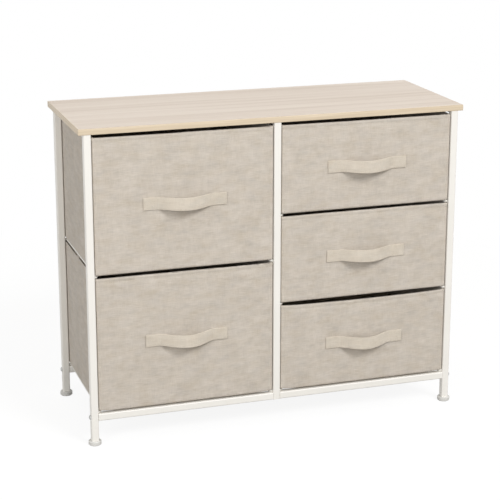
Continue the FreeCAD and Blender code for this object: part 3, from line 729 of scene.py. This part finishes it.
def wall_rows(low, high):
    """Start, end and direction of the rows on a bin's four walls."""
    top = high.z - HEM_HEIGHT
    foot = low.z + LOWEST_STITCH
    walls = [
        (FRONT_BACK, LEFT_RIGHT, low.y, 1),
        (FRONT_BACK, LEFT_RIGHT, high.y, -1),
        (LEFT_RIGHT, FRONT_BACK, low.x, 1),
        (LEFT_RIGHT, FRONT_BACK, high.x, -1),
    ]
    rows = []
    for axis, other, place, inward in walls:
        towards = Vector((0, 0, 0))
        towards[axis] = inward
        left = low[other] + SEAM_INSET
        right = high[other] - SEAM_INSET
        hem = ((left, top), (right, top))
        left_seam = ((left, foot), (left, top))
        right_seam = ((right, foot), (right, top))
        for row in (hem, left_seam, right_seam):
            ends = []
            for along, up in row:
                point = Vector((0, 0, up))
                point[axis] = place
                point[other] = along
                ends.append(point)
            rows.append((*ends, towards))
    return rows


# %% Make the five bins and their seams
for seed, drawer in enumerate(DRAWERS):
    low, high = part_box(drawer + "_bin")
    low.x -= PLUMP
    high.x += PLUMP
    shell = bin_shell(low, high)
    underside = UNDERSIDE_SAG if drawer in LOWEST_BINS else 0.0
    soften(shell, low, high, seed, RIM_SAG[drawer], underside)
    surface = BVHTree.FromBMesh(shell)
    seams = bmesh.new()
    for start, end, towards in wall_rows(low, high):
        sew(seams, surface, start, end, towards)
    solids = [drawer + "_bin", drawer + "_cards"]
    body = drawer + "_drawer"
    make_piece(drawer + "_sewn_bin", shell, [linen, lining], body, "linen_fabric", *solids)
    make_piece(drawer + "_seams", seams, [thread], body, "linen_fabric")

# %% [markdown]
# The boards in the bins
#
# A loose board keeps each bin's bottom flat. It is wrapped in the lining cloth, so its edges
# are soft and its faces are not quite flat. A block with a few cuts, rounded at every edge
# and swollen by a fraction of a millimetre, is enough.

# %% Wrap the base boards
BOARD_ROUNDING = 1.6 * MM
BOARD_END_CUTS = [3 * MM, 6 * MM]
BOARD_SWELL = 0.3 * MM
SWELLS_PER_METRE = 20
for seed, drawer in enumerate(DRAWERS):
    low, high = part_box(drawer + "_base_board")
    board = block(low, high)
    for axis in (LEFT_RIGHT, FRONT_BACK):
        cuts = spaced(low[axis], high[axis], BOARD_END_CUTS)
        cut_at(board, axis, cuts[::2])  # every second one is enough on a flat board
    board.normal_update()
    round_off(board, creases(board), BOARD_ROUNDING, segments=3)
    for vert in board.verts:
        if vert.co.z > high.z - HAIR:
            swell = slow_dents(vert.co.x, vert.co.y, seed, SWELLS_PER_METRE)
            vert.co.z += BOARD_SWELL * swell
    name = drawer + "_wrapped_board"
    make_piece(name, board, [lining], drawer + "_drawer", "board_card", drawer + "_base_board")

# %% [markdown]
# The pulls
#
# A pull is a strip of the same cloth, folded, sewn along both edges and stitched down at its
# ends. It is longer than the space between its ends, so it stands out in a bow, and its own
# weight lets it droop. A flat grid with a wall, quilted a little between the rows of thread
# and then bent along the bow, keeps that section all the way.

# %% Sizes of a pull
PULL_THICKNESS = 2.6 * MM
PULL_QUILT = 0.5 * MM
PULL_ROUNDING = 1.0 * MM
PULL_TAB = 29 * MM
PULL_CUTS_ALONG = 80
PULL_CUTS_UP = 14
PULL_ROW_INSET = 3.0 * MM
PULL_STITCH_PITCH = 3 * MM
TAB_BOX_INSET = 4 * MM
ROW_CLEARANCE = 2 * MM  # rows are aimed at the strap from this far in front of it
PULL_LEAN = 0.12  # how far the bow's upper edge tips back, as a slope
PULL_DROOP = {
    "upper_left": 0.8 * MM,
    "lower_left": 2.3 * MM,
    "upper_right": 1.2 * MM,
    "middle_right": 0.4 * MM,
    "lower_right": 2.4 * MM,
}


def bow(share):
    """How far out the strap stands, from 1 at its middle to 0 at its tabs."""
    return max(0.0, 1 - share * share) ** 1.5


# %% Bend the straps
def flat_strap(length, width):
    """A quilted flat strap with its middle at the origin, facing -Y."""
    bm = bmesh.new()
    upright = Matrix.Rotation(math.radians(90), 4, "X") @ Matrix.Diagonal((length, width, 1, 1))
    bmesh.ops.create_grid(
        bm, x_segments=PULL_CUTS_ALONG, y_segments=PULL_CUTS_UP, size=0.5, matrix=upright
    )
    bmesh.ops.solidify(bm, geom=bm.faces[:], thickness=PULL_THICKNESS)
    bm.normal_update()
    middle = sum((v.co.y for v in bm.verts), 0.0) / len(bm.verts)
    bmesh.ops.translate(bm, vec=(0, -middle, 0), verts=bm.verts)
    round_off(bm, creases(bm), PULL_ROUNDING, segments=3)
    row = width / 2 - PULL_ROW_INSET
    for vert in bm.verts:
        pad = max(0.0, 1 - (vert.co.z / row) ** 4)
        vert.co.y += math.copysign(PULL_QUILT * pad, vert.co.y) * 0.5  # half on each face
    return bm


def bend_strap(bm, low, high, droop):
    """Bows the flat strap out from the bin, with its tabs on the cloth."""
    centre = (low + high) / 2
    back = high.y - PULL_THICKNESS / 2 - PULL_QUILT / 2
    reach = back - low.y - PULL_THICKNESS / 2 - PULL_QUILT / 2
    free = (high.x - low.x) / 2 - PULL_TAB
    step = 0.01  # the slope is read between two places this share before and after
    for vert in bm.verts:
        flat = vert.co.copy()
        share = flat.x / free
        slope = -reach * (bow(share + step) - bow(share - step)) / (2 * step * free)
        tilt = Vector((-slope, 1, 0)).normalized()
        out = bow(share)
        lean = (PULL_LEAN * out) * flat.z
        vert.co = Vector((centre.x + flat.x, back - reach * out + lean, centre.z + flat.z))
        vert.co += tilt * flat.y
        vert.co.z -= droop * out


# %% Make the pulls and sew them on
def tab_rows(low, high):
    """The stitched box with a cross on each tab, and the rows along both edges."""
    front = low.y - ROW_CLEARANCE
    top = high.z - PULL_ROW_INSET
    foot = low.z + PULL_ROW_INSET
    middle = (low.x + high.x) / 2
    half = (high.x - low.x) / 2
    rows = []
    for side in (-1, 1):
        end = middle + side * (half - PULL_ROW_INSET)
        start = middle + side * (half - PULL_TAB + TAB_BOX_INSET)
        places = ((end, top), (end, foot), (start, foot), (start, top))
        corners = [Vector((x, front, z)) for x, z in places]
        rows += [(corners[k], corners[(k + 1) % 4]) for k in range(4)]
        rows += [(corners[0], corners[2]), (corners[1], corners[3])]
    free_ends = (low.x + PULL_TAB - PULL_ROW_INSET, high.x - PULL_TAB + PULL_ROW_INSET)
    for height in (top, foot):
        rows.append(tuple(Vector((x, front, height)) for x in free_ends))
    return rows


for drawer in DRAWERS:
    low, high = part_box(drawer + "_pull")
    strap = flat_strap(high.x - low.x, high.z - low.z)
    bend_strap(strap, low, high, PULL_DROOP[drawer])
    surface = BVHTree.FromBMesh(strap)
    rows = bmesh.new()
    for start, end in tab_rows(low, high):
        sew(rows, surface, start, end, Vector((0, 1, 0)), pitch=PULL_STITCH_PITCH)
    body = drawer + "_drawer"
    make_piece(drawer + "_strap", strap, [strap_cloth], body, "strap_fabric", drawer + "_pull")
    make_piece(drawer + "_strap_rows", rows, [thread], body, "strap_fabric")

# %% [markdown]
# Floor and surroundings
#
# The dresser stands in a plain white studio. The floor is a grey that throws little light
# back up, but the camera, and anything that mirrors, sees it as white with the soft shadow of
# the dresser on it. Light Path tells the two kinds of ray apart. Far from the dresser the
# shadow part fades out, so floor and surroundings meet without a line.

# %% Tell the two kinds of ray apart
def seen_ray(finish):
    """1 for rays from the camera and for mirrored or transmitted ones, and 0 for others."""
    seen_kinds = ("Is Camera Ray", "Is Glossy Ray", "Is Transmission Ray")
    rays = [finish.node("ShaderNodeLightPath", output=kind) for kind in seen_kinds]
    return finish.limit(rays[0] + rays[1] + rays[2])


# %% Lay the floor
FLOOR_REACH = 9.0
SHADOW_END = 1.5  # metres from the middle to where the seen shadow has faded out
SHADOW_FADE = 1.6  # how fast it fades before that, per metre
GLOW_LOSS = 0.11  # how much less the floor glows near the dresser


def studio_floor():
    """Grey for the light that bounces off it, and white with a soft shadow when seen."""
    finish = new_finish("studio_floor", Roughness=1.0, Specular_IOR_Level=0.0)
    x_place = finish.node("ShaderNodeSeparateXYZ", sockets={0: finish.place()}, output="X")
    y_place = finish.node("ShaderNodeSeparateXYZ", sockets={0: finish.place()}, output="Y")
    distance = finish.math("SQRT", x_place * x_place + y_place * y_place)
    near = finish.limit((SHADOW_END - distance) * SHADOW_FADE)
    seen = seen_ray(finish)
    grey = paint(180, 179, 177)
    seen_grey = finish.between(near, paint(0, 0, 0), paint(104, 104, 104))
    finish.wear(Base_Color=finish.between(seen, grey, seen_grey))
    glow = finish.node("ShaderNodeEmission", sockets={"Strength": 1.0 - near * GLOW_LOSS})
    glow_if_seen = finish.node("ShaderNodeMixShader", sockets={0: seen, 2: glow})
    lit = Signal(finish, finish.shader.outputs[0])
    both = finish.node("ShaderNodeAddShader", sockets={0: lit, 1: glow_if_seen})
    finish.feed(finish.tree.nodes["Material Output"].inputs["Surface"], both)
    return finish.owner


floor_mesh = bmesh.new()
bmesh.ops.create_grid(floor_mesh, x_segments=1, y_segments=1, size=FLOOR_REACH)
mesh = bpy.data.meshes.new("floor")
floor_mesh.to_mesh(mesh)
floor_mesh.free()
mesh.materials.append(studio_floor())
floor = bpy.data.objects.new("floor", mesh)
bpy.context.scene.collection.objects.link(floor)

# %% [markdown]
# Light
#
# One broad lamp stands high in front and a little to the right. It lights the top and the
# fronts alike, and leaves the soft shadows under the pulls and under the top. A weaker one in
# front on the left keeps that side in soft shade and reaches the rear leg behind it, and the
# world fills in the rest. White as a backdrop is only for what the camera and mirrored rays
# see, so it doesn't wash out the colours.

# %% Hang the lamps
MIDDLE = Vector((0, 0, 0.4))


def softbox(name, place, size, power):
    """A square lamp, its size in metres and power in watts, turned to the dresser's middle."""
    lamp = bpy.data.lights.new(name, "AREA")
    lamp.shape = "SQUARE"
    lamp.size = size
    lamp.energy = power
    stand = bpy.data.objects.new(name, lamp)
    stand.location = place
    stand.rotation_euler = (MIDDLE - Vector(place)).to_track_quat("-Z", "Y").to_euler()
    bpy.context.scene.collection.objects.link(stand)


def studio_world(fill):
    """White to the camera and in reflections, and a soft fill for everything else."""
    world = bpy.context.scene.world or bpy.data.worlds.new("studio")
    bpy.context.scene.world = world
    finish = Finish(world)
    finish.tree.nodes.clear()
    soft_light = {"Color": (1.0, 0.99, 0.97, 1), "Strength": fill}
    white_light = {"Color": (1, 1, 1, 1), "Strength": 1.0}
    soft = finish.node("ShaderNodeBackground", sockets=soft_light)
    white = finish.node("ShaderNodeBackground", sockets=white_light)
    both = finish.node("ShaderNodeMixShader", sockets={0: seen_ray(finish), 1: soft, 2: white})
    output = finish.tree.nodes.new("ShaderNodeOutputWorld")
    finish.feed(output.inputs["Surface"], both)


softbox("key_softbox", place=(1.7, -3.9, 3.9), size=1.8, power=166)
softbox("side_softbox", place=(-2.9, -2.6, 1.7), size=1.6, power=49)
studio_world(fill=0.51)
print("lamps:", [lamp.name for lamp in bpy.data.lights])

# %% [markdown]
# Camera
#
# The camera stands to the left of the dresser and a little above its top, far enough away for
# the upright lines to stay nearly upright. Its turn is built from three directions: where it
# looks, which way is right, and which way is up. The small shift moves the picture in its
# frame without turning the camera.

# %% Set the camera
FRAME_PIXELS = 500
FOCAL_PIXELS = 1555
SENSOR_WIDTH = 36
PRINCIPAL = (262, 230)  # where the camera looks straight ahead, in pixels of the frame
STAND = Vector((-0.986, -2.975, 1.257))
YAW, PITCH, ROLL = (math.radians(angle) for angle in (18.58, 15.68, 0.14))


def camera_turn(yaw, pitch, roll):
    """The camera's turn: yaw to the right of straight back, then pitch down, then roll."""
    ahead = Vector((math.sin(yaw), math.cos(yaw), 0))
    right = Vector((math.cos(yaw), -math.sin(yaw), 0))
    up = Vector((0, 0, 1))
    looking = ahead * math.cos(pitch) - up * math.sin(pitch)
    above = up * math.cos(pitch) + ahead * math.sin(pitch)
    rolled_right = right * math.cos(roll) + above * math.sin(roll)
    rolled_up = above * math.cos(roll) - right * math.sin(roll)
    return Matrix((rolled_right, rolled_up, -looking)).transposed().to_4x4()


camera_data = bpy.data.cameras.new("studio_camera")
camera_data.sensor_width = SENSOR_WIDTH
camera_data.lens = FOCAL_PIXELS / FRAME_PIXELS * SENSOR_WIDTH
camera_data.shift_x = (FRAME_PIXELS / 2 - PRINCIPAL[0]) / FRAME_PIXELS
camera_data.shift_y = (PRINCIPAL[1] - FRAME_PIXELS / 2) / FRAME_PIXELS
camera_data.dof.use_dof = False
camera = bpy.data.objects.new("studio_camera", camera_data)
camera.matrix_world = Matrix.Translation(STAND) @ camera_turn(YAW, PITCH, ROLL)
bpy.context.scene.collection.objects.link(camera)
bpy.context.scene.camera = camera
bpy.context.scene.view_settings.view_transform = "Standard"
print("lens, mm:", round(camera_data.lens, 1))

# %% [markdown]
# Last step
#
# The finished pieces must stay as large as the solids they dress. The last line brings
# the scene up to date.

# %% Bring the scene up to date
bpy.context.view_layer.update()
